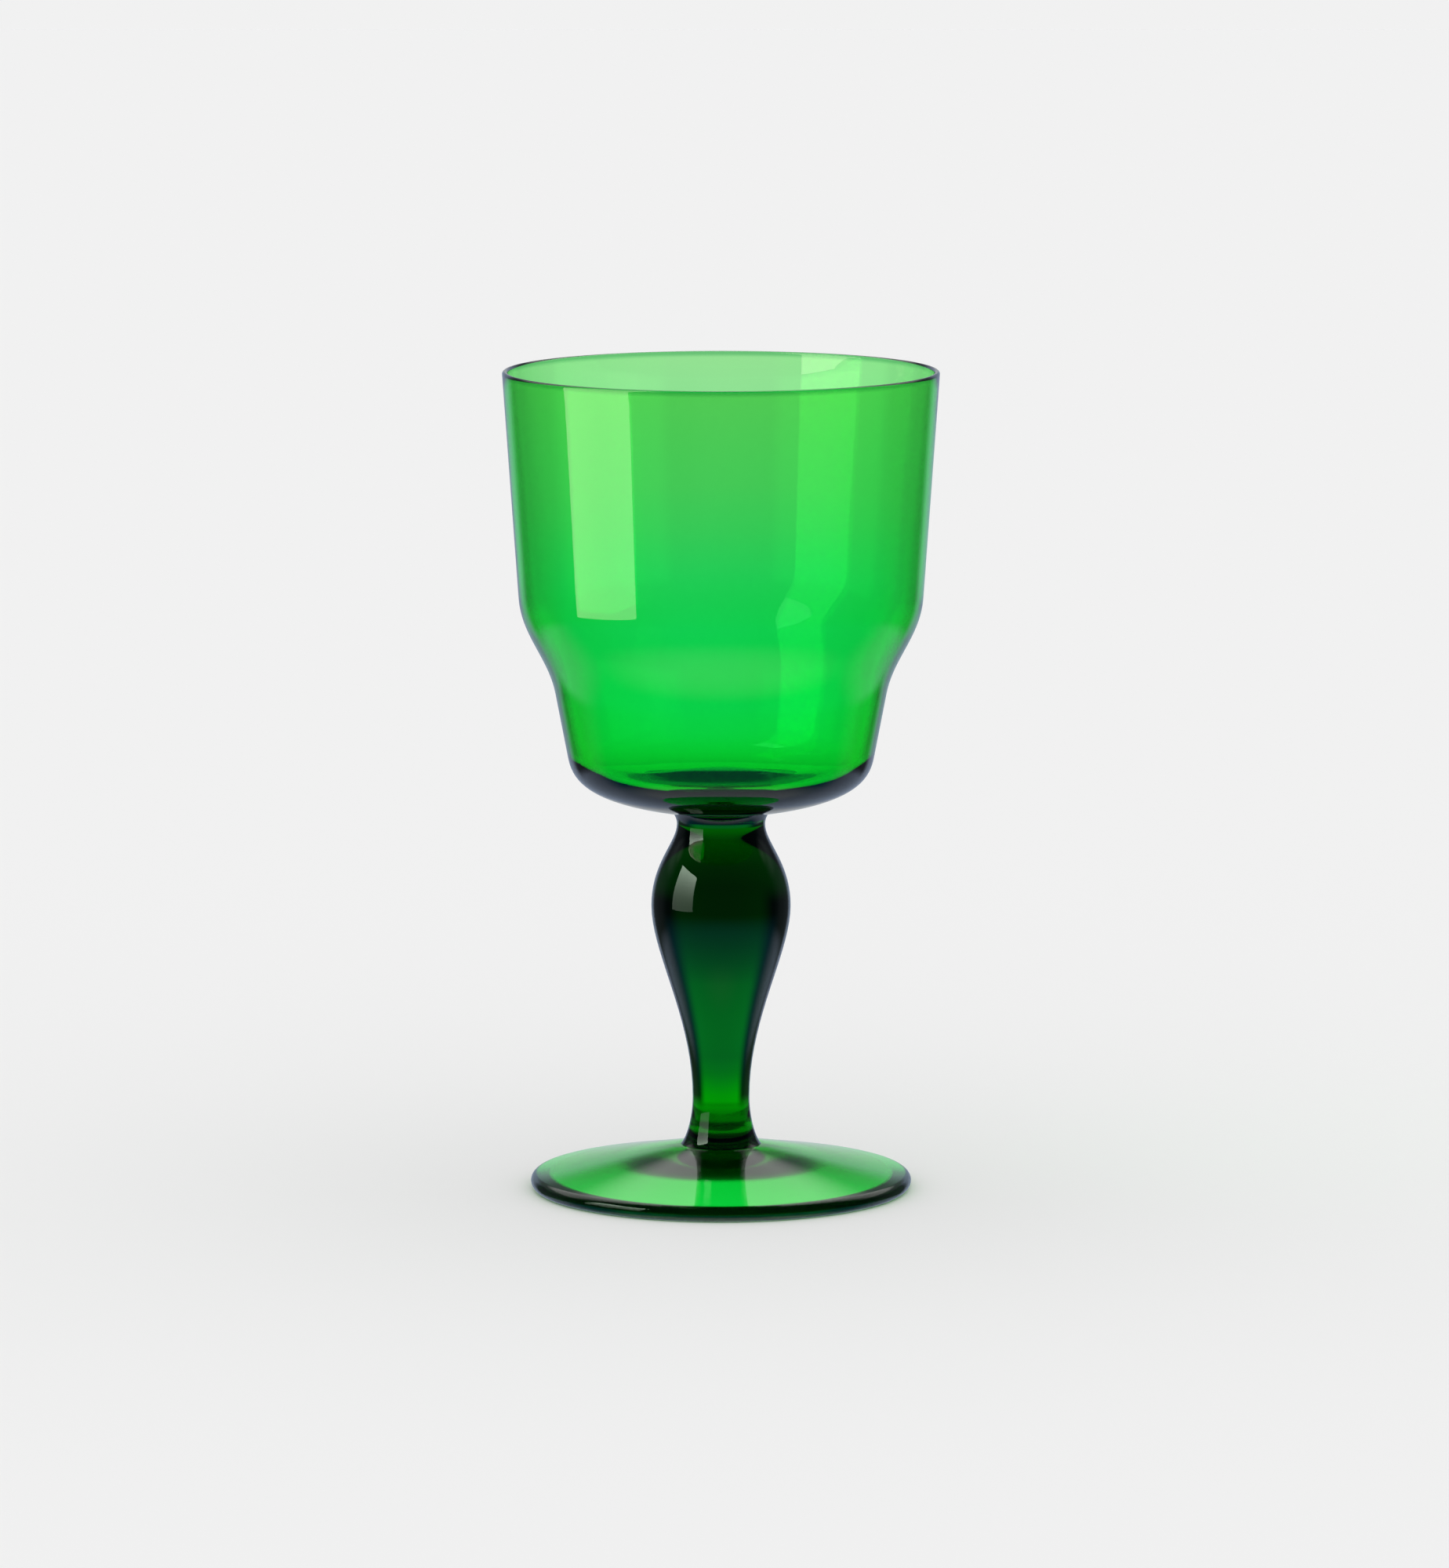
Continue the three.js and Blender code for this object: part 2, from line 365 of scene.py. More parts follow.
# %% [markdown]
# ## Turning a profile with Geometry Nodes
#
# A turned shape follows one rule: every point of the profile goes round the axis. Blender's Screw
# modifier can do that, but a node tree shows the rule and can also bend it. The tree makes a flat grid
# with a row for each point of the profile and a column for each step of the turn, and then moves every
# grid point to its place. Doubles are merged, which closes the seam and the poles.

# %% Turning tree, first part: each grid point to its place on the circle
def turned_grid(tree, given):
    """Puts out the flat grid, where its points belong, and each point's row and radius."""
    points = add(tree, "GeometryNodeResampleCurve", mode="EVALUATED")
    feed(tree, points.inputs["Curve"], given["Profile"])
    size = add(tree, "GeometryNodeAttributeDomainSize", component="CURVE")
    feed(tree, size.inputs[0], points.outputs[0])
    rows = size.outputs["Point Count"]
    grid = add(tree, "GeometryNodeMeshGrid")
    feed(tree, grid.inputs["Vertices X"], maths(tree, "ADD", given["Columns"], 1))
    feed(tree, grid.inputs["Vertices Y"], rows)

    index = add(tree, "GeometryNodeInputIndex").outputs[0]
    row = maths(tree, "MODULO", index, rows)
    column = maths(tree, "FLOOR", maths(tree, "DIVIDE", index, rows))
    angle = maths(tree, "MULTIPLY", maths(tree, "DIVIDE", column, given["Columns"]), 2 * math.pi)

    drawn = add(tree, "GeometryNodeSampleIndex", data_type="FLOAT_VECTOR", domain="POINT")
    feed(tree, drawn.inputs["Geometry"], points.outputs[0])
    feed(tree, drawn.inputs["Value"], add(tree, "GeometryNodeInputPosition").outputs[0])
    feed(tree, drawn.inputs["Index"], row)
    radius, _, height = split(tree, drawn.outputs[0])
    turned = add(tree, "ShaderNodeCombineXYZ")
    feed(tree, turned.inputs[0], maths(tree, "MULTIPLY", radius, maths(tree, "COSINE", angle)))
    feed(tree, turned.inputs[1], maths(tree, "MULTIPLY", radius, maths(tree, "SINE", angle)))
    feed(tree, turned.inputs[2], height)
    return grid.outputs["Mesh"], turned.outputs[0], row, radius


print("a grid point at index i has row i % rows and column i // rows")

# %% [markdown]
# ## The ripple inside the bowl
#
# Blown glass is never quite even inside, where no mould touches it. A bump in the shader would bend
# reflections but not the light that passes through. So the tree pushes the inner wall in and out along
# its normals by up to a tenth of a millimetre or so, with noise that is drawn out along the height. The
# push fades in below the lip and fades out towards the middle of the floor. The seed keeps every run
# the same.

# %% Turning tree, second part: close the mesh and push the inner wall
RIPPLE_SHARE = "ripple_share"
RIPPLE_STRETCH = (55.0, 55.0, 9.0)
RIPPLE_FADE_ROWS = 12.0
RIPPLE_FADE_RADIUS = 10.0 * MM
MERGE_DISTANCE = 0.001 * MM


def clamped(tree, value):
    node = add(tree, "ShaderNodeClamp")
    feed(tree, node.inputs["Value"], value)
    return node.outputs[0]


def closed_mesh(tree, given, grid, place, row, radius):
    """The turned mesh without doubles. Each point carries its share of the ripple."""
    past_lip = maths(tree, "SUBTRACT", row, given["First ripple row"])
    fade_in = clamped(tree, maths(tree, "DIVIDE", past_lip, RIPPLE_FADE_ROWS))
    fade_out = clamped(tree, maths(tree, "DIVIDE", radius, RIPPLE_FADE_RADIUS))
    marked = add(tree, "GeometryNodeStoreNamedAttribute", data_type="FLOAT", domain="POINT")
    feed(tree, marked.inputs["Geometry"], grid)
    feed(tree, marked.inputs["Name"], RIPPLE_SHARE)
    feed(tree, marked.inputs["Value"], maths(tree, "MULTIPLY", fade_in, fade_out))
    turned = add(tree, "GeometryNodeSetPosition")
    feed(tree, turned.inputs["Geometry"], marked.outputs[0])
    feed(tree, turned.inputs["Position"], place)
    closed = add(tree, "GeometryNodeMergeByDistance")
    feed(tree, closed.inputs["Geometry"], turned.outputs[0])
    feed(tree, closed.inputs["Distance"], MERGE_DISTANCE)
    return closed.outputs[0]


def rippled(tree, given, mesh):
    stretch = add(tree, "ShaderNodeVectorMath", operation="MULTIPLY")
    feed(tree, stretch.inputs[0], add(tree, "GeometryNodeInputPosition").outputs[0])
    feed(tree, stretch.inputs[1], RIPPLE_STRETCH)
    wave = add(tree, "ShaderNodeTexNoise", noise_dimensions="4D")
    feed(tree, wave.inputs["Vector"], stretch.outputs[0])
    feed(tree, wave.inputs["W"], given["Ripple seed"])
    feed(tree, wave.inputs["Scale"], 1.0)
    feed(tree, wave.inputs["Detail"], 1.0)
    about_zero = maths(tree, "SUBTRACT", wave.outputs[0], 0.5)
    share = add(tree, "GeometryNodeInputNamedAttribute", data_type="FLOAT")
    feed(tree, share.inputs["Name"], RIPPLE_SHARE)
    swing = maths(tree, "MULTIPLY", about_zero, given["Ripple depth"])
    push = add(tree, "ShaderNodeVectorMath", operation="SCALE")
    feed(tree, push.inputs[0], add(tree, "GeometryNodeInputNormal").outputs[0])
    feed(tree, push.inputs["Scale"], maths(tree, "MULTIPLY", swing, share.outputs[0]))
    moved = add(tree, "GeometryNodeSetPosition")
    feed(tree, moved.inputs["Geometry"], mesh)
    feed(tree, moved.inputs["Offset"], push.outputs[0])
    return moved.outputs[0]


print("ripple fades in over", RIPPLE_FADE_ROWS, "rows and out over", in_mm(RIPPLE_FADE_RADIUS), "mm")

# %% [markdown]
# ## The whole turning tree
#
# The tree's inputs are what differs from piece to piece: the profile, how many steps go round, and how
# deep the ripple is and where it starts. It ends in Realize Instances and Set Material, so that what
# comes out is a plain mesh with its finish.

# %% Turning tree, last part: inputs, shading and finish
TURNING_INPUTS = (
    ("Profile", "NodeSocketGeometry"),
    ("Columns", "NodeSocketInt"),
    ("Ripple depth", "NodeSocketFloat"),
    ("First ripple row", "NodeSocketInt"),
    ("Ripple seed", "NodeSocketFloat"),
    ("Finish", "NodeSocketMaterial"),
)


def turning_tree():
    tree = bpy.data.node_groups.new("turn_on_axis", "GeometryNodeTree")
    for name, kind in TURNING_INPUTS:
        tree.interface.new_socket(name, in_out="INPUT", socket_type=kind)
    tree.interface.new_socket("Piece", in_out="OUTPUT", socket_type="NodeSocketGeometry")
    given = add(tree, "NodeGroupInput").outputs
    mesh = closed_mesh(tree, given, *turned_grid(tree, given))
    smooth = add(tree, "GeometryNodeSetShadeSmooth")
    feed(tree, smooth.inputs[0], rippled(tree, given, mesh))
    real = add(tree, "GeometryNodeRealizeInstances")
    feed(tree, real.inputs[0], smooth.outputs[0])
    finish = add(tree, "GeometryNodeSetMaterial")
    feed(tree, finish.inputs["Geometry"], real.outputs[0])
    feed(tree, finish.inputs["Material"], given["Finish"])
    feed(tree, add(tree, "NodeGroupOutput").inputs[0], finish.outputs[0])
    return tree


TURNING = turning_tree()
print("turning tree:", len(TURNING.nodes), "nodes")

# %% [markdown]
# ## What all the glass shares
#
# Old-fashioned hand-made glass carries faint cords, where the melt wasn't quite mixed, and a soft
# surface that reflections slide over. One node group makes both from noise on Object coordinates. The
# three finishes place it with their own values: the bowl is drawn upwards, the stem is calmer, and the
# foot was spun flat.

# %% Node group: cords and soft surface of hand-made glass
CORD_TINT = (0.55, 0.95, 0.6, 1.0)
CLEAR = (1.0, 1.0, 1.0, 1.0)
CORD_DETAIL = 3.0
CORD_ROUGHNESS = 0.45
HAZE_SCALE = 35.0
HAZE_DETAIL = 4.0


def hand_made_group():
    group = bpy.data.node_groups.new("hand_made_glass", "ShaderNodeTree")
    for name in ("Across", "Along", "Cord strength", "Dulling"):
        group.interface.new_socket(name, in_out="INPUT", socket_type="NodeSocketFloat")
    group.interface.new_socket("Tint", in_out="OUTPUT", socket_type="NodeSocketColor")
    for name in ("Roughness", "Height"):
        group.interface.new_socket(name, in_out="OUTPUT", socket_type="NodeSocketFloat")
    given = add(group, "NodeGroupInput").outputs
    made = add(group, "NodeGroupOutput").inputs
    where = add(group, "ShaderNodeTexCoord").outputs["Object"]

    scale = add(group, "ShaderNodeCombineXYZ")
    for socket, name in zip(scale.inputs, ("Across", "Across", "Along")):
        feed(group, socket, given[name])
    stretched = add(group, "ShaderNodeVectorMath", operation="MULTIPLY")
    feed(group, stretched.inputs[0], where)
    feed(group, stretched.inputs[1], scale.outputs[0])
    cords = add(group, "ShaderNodeTexNoise")
    feed(group, cords.inputs["Vector"], stretched.outputs[0])
    feed(group, cords.inputs["Scale"], 1.0)
    feed(group, cords.inputs["Detail"], CORD_DETAIL)
    feed(group, cords.inputs["Roughness"], CORD_ROUGHNESS)
    feed(group, made["Height"], cords.outputs[0])
    depth = maths(group, "MULTIPLY", cords.outputs[0], given["Cord strength"])
    feed(group, made["Tint"], blend(group, depth, CLEAR, CORD_TINT))

    haze = add(group, "ShaderNodeTexNoise")
    feed(group, haze.inputs["Vector"], where)
    feed(group, haze.inputs["Scale"], HAZE_SCALE)
    feed(group, haze.inputs["Detail"], HAZE_DETAIL)
    feed(group, made["Roughness"], maths(group, "MULTIPLY", haze.outputs[0], given["Dulling"]))
    return group


HAND_MADE = hand_made_group()
print("hand-made glass group:", len(HAND_MADE.nodes), "nodes")

# %% [markdown]
# ## Painted light and shade by height
#
# The bowl's glass thins out upwards as it is blown, and the stem lets through more light at its waist
# than in its bulb. In front of a strong backlight that shows as a change of green with the height. The
# light here is softer, so light and shade are painted on the surface as a tint by height. A second node
# group gives the share of the way between two heights, and each finish colours that share with stops of its
# own.

# %% Node group: how far up between two heights
def height_group():
    group = bpy.data.node_groups.new("way_up_the_glass", "ShaderNodeTree")
    for name in ("Lowest", "Highest"):
        group.interface.new_socket(name, in_out="INPUT", socket_type="NodeSocketFloat")
    group.interface.new_socket("Share", in_out="OUTPUT", socket_type="NodeSocketFloat")
    given = add(group, "NodeGroupInput").outputs
    height = split(group, add(group, "ShaderNodeTexCoord").outputs["Object"])["Z"]
    share = ramp(group, height, given["Lowest"], given["Highest"])
    feed(group, add(group, "NodeGroupOutput").inputs["Share"], share)
    return group


HEIGHT = height_group()


def way_up(tree, lowest, highest):
    node = add(tree, "ShaderNodeGroup", node_tree=HEIGHT)
    feed(tree, node.inputs["Lowest"], lowest)
    feed(tree, node.inputs["Highest"], highest)
    return node.outputs["Share"]


def painted_light_and_shade_by_height(tree, stops):
    """Painted light and shade: a colour for each height, from stops of millimetres and red, green, blue."""
    lowest = stops[0][0]
    span = stops[-1][0] - lowest
    colours = add(tree, "ShaderNodeValToRGB")
    feed(tree, colours.inputs["Fac"], way_up(tree, lowest * MM, (lowest + span) * MM))
    steps = colours.color_ramp.elements
    while len(steps) < len(stops):
        steps.new(0.5)
    for step, (height, tint) in zip(steps, stops):
        step.position = (height - lowest) / span
        step.color = (*tint, 1.0)
    return colours.outputs["Color"]


print("height group:", len(HEIGHT.nodes), "nodes")

# %% [markdown]
# ## Painted shade on the edges of the lower wall
#
# A line drawn along the outline is how a photographer makes glass stand out from a pale ground. It comes
# from looking along the wall, where light has a long way to go through the glass. Here that shade is
# painted into the colour: Layer Weight knows how steeply a surface is seen. The painted shade is kept to the
# outer faces of the lower wall, which carry a mark, because the far inner wall is seen steeply too, and there
# the light comes through.

# %% Paint shade on the lower wall where it is seen along its thickness
OUTSIDE_MARK = "outside_wall"
# Painted shade laid over the lower wall's outer faces where they are seen along the wall
EDGE_PAINTED_SHADE = (0.03, 0.04, 0.03, 1.0)
EDGE_STARTS, EDGE_FULL = 0.6, 0.81
EDGE_TOP, EDGE_TOP_FULL = 118.0 * MM, 105.0 * MM


def face_mark(tree, name):
    return add(tree, "ShaderNodeAttribute", attribute_name=name).outputs["Fac"]


def painted_edge_shade(tree, tint):
    slant = add(tree, "ShaderNodeLayerWeight").outputs["Facing"]
    along_wall = ramp(tree, slant, EDGE_STARTS, EDGE_FULL)
    # Counted downwards: nothing at the top of the shaded wall, and full lower down
    low_wall = way_up(tree, EDGE_TOP, EDGE_TOP_FULL)
    both = maths(tree, "MULTIPLY", along_wall, low_wall)
    share = maths(tree, "MULTIPLY", both, face_mark(tree, OUTSIDE_MARK))
    # Painted shade blended over the tint
    return blend(tree, share, tint, EDGE_PAINTED_SHADE)


print("edges are shaded below", in_mm(EDGE_TOP), "mm")

# %% [markdown]
# ## Green glass
#
# A tinted surface would colour thick and thin glass alike. Real coloured glass takes light away all along
# its path, so the thin bowl is bright and the solid stem is nearly black. Volume Absorption does that. It
# takes off its density times one less its colour, so the colour comes from how much of red, green and
# blue is lost on the way, here per metre. Each piece has losses of its own, because each is lit in its
# own way.
#
# Where two pieces are fused there is no surface for light to meet. The faces there carry a mark, and the
# mark turns Alpha to nothing, so that light runs on from one piece into the next. The underside of the
# foot carries a mark too: it is scuffed from standing on tables, and a little rougher.

# %% Build one finish
GLASS_IOR = 1.51
MELT_DENSITY = 1400.0
FUSED_MARK = "fused_joint"
SCUFF_MARK = "scuffed_underside"
SCUFF_ROUGHNESS = 0.14
SURFACE_SOFTNESS = 0.012 * MM


def green_glass(name, loss, hand, stops=None, edges=False):
    finish = bpy.data.materials.new(name)
    finish.use_nodes = True
    tree = finish.node_tree
    tree.nodes.clear()
    surface = add(tree, "ShaderNodeBsdfPrincipled")
    surface.inputs["Transmission Weight"].default_value = 1.0
    surface.inputs["IOR"].default_value = GLASS_IOR
    hand_made = add(tree, "ShaderNodeGroup", node_tree=HAND_MADE)
    for socket, value in hand.items():
        feed(tree, hand_made.inputs[socket], value)

    tint = hand_made.outputs["Tint"]
    # Painted light and shade by height, and painted shade on the bowl's edges, are laid over the cords' tint
    if stops:
        tint = blend(tree, 1.0, tint, painted_light_and_shade_by_height(tree, stops), "MULTIPLY")
    if edges:
        tint = painted_edge_shade(tree, tint)
    feed(tree, surface.inputs["Base Color"], tint)
    scuff = face_mark(tree, SCUFF_MARK)
    rough = maths(tree, "MULTIPLY_ADD", scuff, SCUFF_ROUGHNESS, hand_made.outputs["Roughness"])
    feed(tree, surface.inputs["Roughness"], rough)
    soft = add(tree, "ShaderNodeBump")
    feed(tree, soft.inputs["Strength"], 1.0)
    feed(tree, soft.inputs["Distance"], SURFACE_SOFTNESS)
    feed(tree, soft.inputs["Height"], hand_made.outputs["Height"])
    feed(tree, surface.inputs["Normal"], soft.outputs[0])
    feed(tree, surface.inputs["Alpha"], maths(tree, "SUBTRACT", 1.0, face_mark(tree, FUSED_MARK)))

    melt = add(tree, "ShaderNodeVolumeAbsorption")
    melt.inputs["Color"].default_value = (*(1 - lost / MELT_DENSITY for lost in loss), 1.0)
    melt.inputs["Density"].default_value = MELT_DENSITY
    out = add(tree, "ShaderNodeOutputMaterial")
    feed(tree, out.inputs["Surface"], surface.outputs[0])
    feed(tree, out.inputs["Volume"], melt.outputs[0])
    print(name, "takes", loss, "per metre,", len(tree.nodes), "nodes")
    return finish


# %% [markdown]
# ## The three finishes
#
# The bowl is painted with light and shade by height: it goes from a cool green at its floor to a yellower
# one at the lip, with a painted dark line on the lip itself. The stem is painted with shade: darkest in its
# bulb and at its two ends, where it meets the other pieces, and bright in a ring at its waist. The foot is
# thin all over and needs no change with height. The stops were chosen one by one.

# %% Glass of the bowl, the stem and the foot
# Painted light and shade on the bowl by height: cool and darker low down, yellower towards the lip
BOWL_PAINTED_LIGHT_AND_SHADE = (
    (80.0, (0.25, 1.0, 0.7)),
    (95.0, (0.3, 1.0, 1.0)),
    (110.0, (0.5, 0.97, 1.0)),
    (128.0, (1.0, 0.92, 0.87)),
    (152.8, (1.0, 0.91, 0.7)),
    # Painted shade: a dark line along the lip
    (153.5, (0.45, 0.62, 0.42)),
    (154.0, (0.4, 0.58, 0.38)),
)
# Painted shade on the stem by height: near black at its ends against the foot and the bowl, dark in the bulb,
# bright at the waist
STEM_PAINTED_SHADE = (
    (8.3, 0.02),
    (10.9, 0.02),
    (11.8, 0.65),
    (13.2, 0.75),
    (15.2, 0.5),
    (16.0, 1.0),
    (17.5, 1.0),
    (22.0, 0.55),
    (25.5, 0.45),
    (40.0, 0.83),
    (53.8, 0.14),
    (62.4, 0.29),
    (66.9, 0.6),
    (69.6, 0.6),
    (70.2, 0.06),
)
# The stem's painted shade as grey stops
STEM_PAINTED_SHADE_TINT = [(height, (shade, shade, shade)) for height, shade in STEM_PAINTED_SHADE]
BOWL_HAND = {"Across": 70.0, "Along": 10.0, "Cord strength": 0.06, "Dulling": 0.012}
STEM_HAND = {"Across": 90.0, "Along": 25.0, "Cord strength": 0.05, "Dulling": 0.016}
FOOT_HAND = {"Across": 60.0, "Along": 60.0, "Cord strength": 0.05, "Dulling": 0.02}

BOWL_GLASS = green_glass("bowl_glass", (1060.0, 100.0, 750.0), BOWL_HAND, BOWL_PAINTED_LIGHT_AND_SHADE, edges=True)
STEM_GLASS = green_glass("stem_glass", (1250.0, 110.0, 850.0), STEM_HAND, STEM_PAINTED_SHADE_TINT)
FOOT_GLASS = green_glass("foot_glass", (1250.0, 40.0, 650.0), FOOT_HAND)

# %% [markdown]
# ## From profile to piece
#
# Each profile becomes a Bezier curve, and the turning tree makes the curve a mesh. The modifier's inputs
# are set by the socket's identifier, because names may repeat. The result is copied into a plain mesh at
# the origin, and its seat edges are kept sharp.

# %% Turn one piece
POINTS_PER_RUN = 18
COLUMNS = 288
RIPPLE_SEED = 4.0
SEAT_ANGLE = math.radians(40)


def profile_curve(name, runs):
    """A Bezier spline through the runs, as a curve object in the XZ plane."""
    data = bpy.data.curves.new(name, "CURVE")
    data.dimensions = "3D"
    data.resolution_u = POINTS_PER_RUN
    spline = data.splines.new("BEZIER")
    spline.bezier_points.add(len(runs))
    knots = spline.bezier_points
    for knot in knots:
        knot.handle_left_type = "FREE"
        knot.handle_right_type = "FREE"
    for number, (start, start_control, end_control, end) in enumerate(runs):
        knots[number].co = start
        knots[number].handle_right = start_control
        knots[number + 1].co = end
        knots[number + 1].handle_left = end_control
    knots[0].handle_left = runs[0][0]
    knots[-1].handle_right = runs[-1][3]
    curve = bpy.data.objects.new(name, data)
    bpy.context.scene.collection.objects.link(curve)
    return curve


def turn_piece(node, runs, finish, ripple_depth=0.0, ripple_row=0):
    curve = profile_curve(node + "_profile", runs)
    modifier = curve.modifiers.new("turn", "NODES")
    modifier.node_group = TURNING
    values = {
        "Columns": COLUMNS,
        "Ripple depth": ripple_depth,
        "First ripple row": ripple_row,
        "Ripple seed": RIPPLE_SEED,
        "Finish": finish,
    }
    for item in TURNING.interface.items_tree:
        if item.in_out == "INPUT" and item.name in values:
            modifier[item.identifier] = values[item.name]
    curve.update_tag()
    graph = bpy.context.evaluated_depsgraph_get()
    mesh = bpy.data.meshes.new_from_object(curve.evaluated_get(graph), depsgraph=graph)
    mesh.name = node
    bpy.data.objects.remove(curve)
    # The grid node leaves an empty first slot, so the finish becomes the only one.
    mesh.materials.clear()
    mesh.materials.append(finish)
    mesh.polygons.foreach_set("material_index", [0] * len(mesh.polygons))
    mesh.attributes.remove(mesh.attributes[RIPPLE_SHARE])
    mesh.set_sharp_from_angle(angle=SEAT_ANGLE)
    piece = bpy.data.objects.new(node + "_glass", mesh)
    bpy.context.scene.collection.objects.link(piece)
    print(piece.name, len(mesh.vertices), "points,", len(mesh.polygons), "faces")
    return piece


# %% [markdown]
# ## Bowl, stem and foot
#
# Only the bowl is rippled. Its ripple starts with the second run of the inside, past the rounding of the
# lip.

# %% Turn the bowl, the stem and the foot
RIPPLE_DEPTH = 0.3 * MM

first_ripple_row = (len(BOWL_OUTSIDE) + 1) * POINTS_PER_RUN
bowl = turn_piece("bowl", BOWL_OUTSIDE + BOWL_INSIDE, BOWL_GLASS, RIPPLE_DEPTH, first_ripple_row)
stem = turn_piece("stem", STEM_OUTLINE, STEM_GLASS)
foot = turn_piece("foot", FOOT_OUTLINE, FOOT_GLASS)

# %% [markdown]
# ## Marks on the faces
#
# The finishes ask for three marks: faces on a joint, outer faces of the bowl, and the foot's underside.
# Painting them by hand would be lost with the next change of shape, so each mark is a test on the way a
# face points and where it lies. It is kept as a face attribute, which the shader reads.

# %% Mark the fused faces, the outer wall and the underside
FLAT = 0.99
SEAT_TOLERANCE = 0.1 * MM
UNDERSIDE_TILT = -0.9


def mark_faces(piece, mark, test):
    values = piece.data.attributes.new(mark, "FLOAT", "FACE")
    for face in piece.data.polygons:
        values.data[face.index].value = float(test(face))
    marked = sum(entry.value > 0 for entry in values.data)
    print(piece.name, mark, "on", marked, "of", len(values.data), "faces")


def on_joint(levels, radius):
    """A test for flat faces that lie at one of the levels, nearer to the axis than radius."""
    def test(face):
        flat = abs(face.normal.z) > FLAT
        at_level = any(abs(face.center.z - level) < SEAT_TOLERANCE for level in levels)
        return flat and at_level and face.center.xy.length < radius
    return test


def points_outwards(face):
    return face.normal.xy.dot(face.center.xy) > 0


def points_down(face):
    return face.normal.z < UNDERSIDE_TILT


mark_faces(bowl, FUSED_MARK, on_joint([STEM_TOP], HEAD_RADIUS))
mark_faces(stem, FUSED_MARK, on_joint([STEM_TOP, FOOT_TOP], HEAD_RADIUS))
mark_faces(foot, FUSED_MARK, on_joint([FOOT_TOP], STEM_BASE_RADIUS))
mark_faces(bowl, OUTSIDE_MARK, points_outwards)
mark_faces(foot, SCUFF_MARK, points_down)

# %% [markdown]
# ## In place of the solids
#
# Nothing on the glass moves, so all three pieces ride on the root. Each one takes the place of the solid
# that it was drawn from, which is hidden.

# %% Put the pieces in the solids' places
for piece, node, slot in (
    (bowl, "bowl", "bowl_glass"),
    (stem, "stem", "stem_glass"),
    (foot, "foot", "foot_glass"),
):
    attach(piece, "root")
    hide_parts(node)
    print(piece.name, "stands for", node)

# %% [markdown]
# ## Floor
#
# The floor is pale and plain, and takes the shadow of the glass. Glass would also show the floor bent and
# mirrored, as one flat grey in every edge. A real table is small, and most of what glass shows lies
# beyond it. So the floor is hidden from bent and mirrored rays, which find the surroundings instead.

# %% A pale floor
PALE = (0.88, 0.88, 0.88, 1.0)
FLOOR_HALF = 4.0
FLOOR_LEVEL = -0.05 * MM


def floor_finish():
    finish = bpy.data.materials.new("pale_floor")
    finish.use_nodes = True
    tree = finish.node_tree
    tree.nodes.clear()
    matt = add(tree, "ShaderNodeBsdfDiffuse")
    matt.inputs["Color"].default_value = PALE
    out = add(tree, "ShaderNodeOutputMaterial")
    feed(tree, out.inputs["Surface"], matt.outputs[0])
    return finish


corners = [(-1, -1), (1, -1), (1, 1), (-1, 1)]
floor_points = [(x * FLOOR_HALF, y * FLOOR_HALF, FLOOR_LEVEL) for x, y in corners]
floor_mesh = bpy.data.meshes.new("floor")
floor_mesh.from_pydata(floor_points, [], [(0, 1, 2, 3)])
floor_mesh.materials.append(floor_finish())
floor = bpy.data.objects.new("floor", floor_mesh)
floor.visible_glossy = False
floor.visible_transmission = False
bpy.context.scene.collection.objects.link(floor)
print("floor:", 2 * FLOOR_HALF, "m wide,", in_mm(FLOOR_LEVEL), "mm up")

# %% [markdown]
# ## Surroundings seen through the glass
#
# Clear glass has no look of its own: it shows what is round it. A photographer puts a bright sheet
# behind a glass and dark cards at its sides, so that the edges draw themselves as dark lines. Cards
# could be modelled, but they would also throw shadows. The world paints them by direction instead: a
# bright sheet that ends a little above the level of the eye, a dark card on each side, and a dark
# camera in front. Each limit below is a pair: where a thing starts to show and where it is full. Sides
# go from 0 straight ahead to 1 at a right angle, and heights from -1 straight down to 1 straight up.

# %% What bent rays see: a bright sheet with dark cards at its sides
CARD_GREY = (0.06, 0.072, 0.085, 1.0)
WHITE = (1.0, 1.0, 1.0, 1.0)
CARD_SIDE = (0.38, 0.62)
CARD_SIDE_END = (0.95, 0.99)
CARD_FOOT = (-0.36, -0.15)
CARD_TOP = (0.52, 0.72)
FRONT_CARD_END = (0.45, 0.6)
SHEET_TOP = (0.2, 0.3)


def fade(tree, value, limits):
    return ramp(tree, value, *limits, shape="SMOOTHSTEP")


def rest_of(tree, share):
    return maths(tree, "SUBTRACT", 1.0, share)


def seen_through(tree, side, y, z):
    back = maths(tree, "GREATER_THAN", y, 0.0)
    side_card = maths(tree, "SUBTRACT", fade(tree, side, CARD_SIDE), fade(tree, side, CARD_SIDE_END))
    front_card = rest_of(tree, fade(tree, side, FRONT_CARD_END))
    behind = maths(tree, "MULTIPLY", side_card, back)
    before = maths(tree, "MULTIPLY", front_card, rest_of(tree, back))
    hung = maths(tree, "MULTIPLY", maths(tree, "ADD", behind, before), rest_of(tree, fade(tree, z, CARD_TOP)))
    card = maths(tree, "MULTIPLY", hung, fade(tree, z, CARD_FOOT))
    dark = maths(tree, "MAXIMUM", card, fade(tree, z, SHEET_TOP))
    return blend(tree, dark, WHITE, CARD_GREY)


print("sheet ends at a height of", SHEET_TOP, "and cards start at a side of", CARD_SIDE)

# %% [markdown]
# ## Surroundings mirrored by the glass
#
# A mirrored ray has met only the surface, so its colour lies on top of the green. Here the sheet is
# slate blue and brightest straight behind the glass, the cards reach lower, and the room in front is
# nearly black with a bluish table edge below. Above the sheet is a dark gap and then a white light
# overhead. The gap is what keeps the oval round the stem dark on the foot.

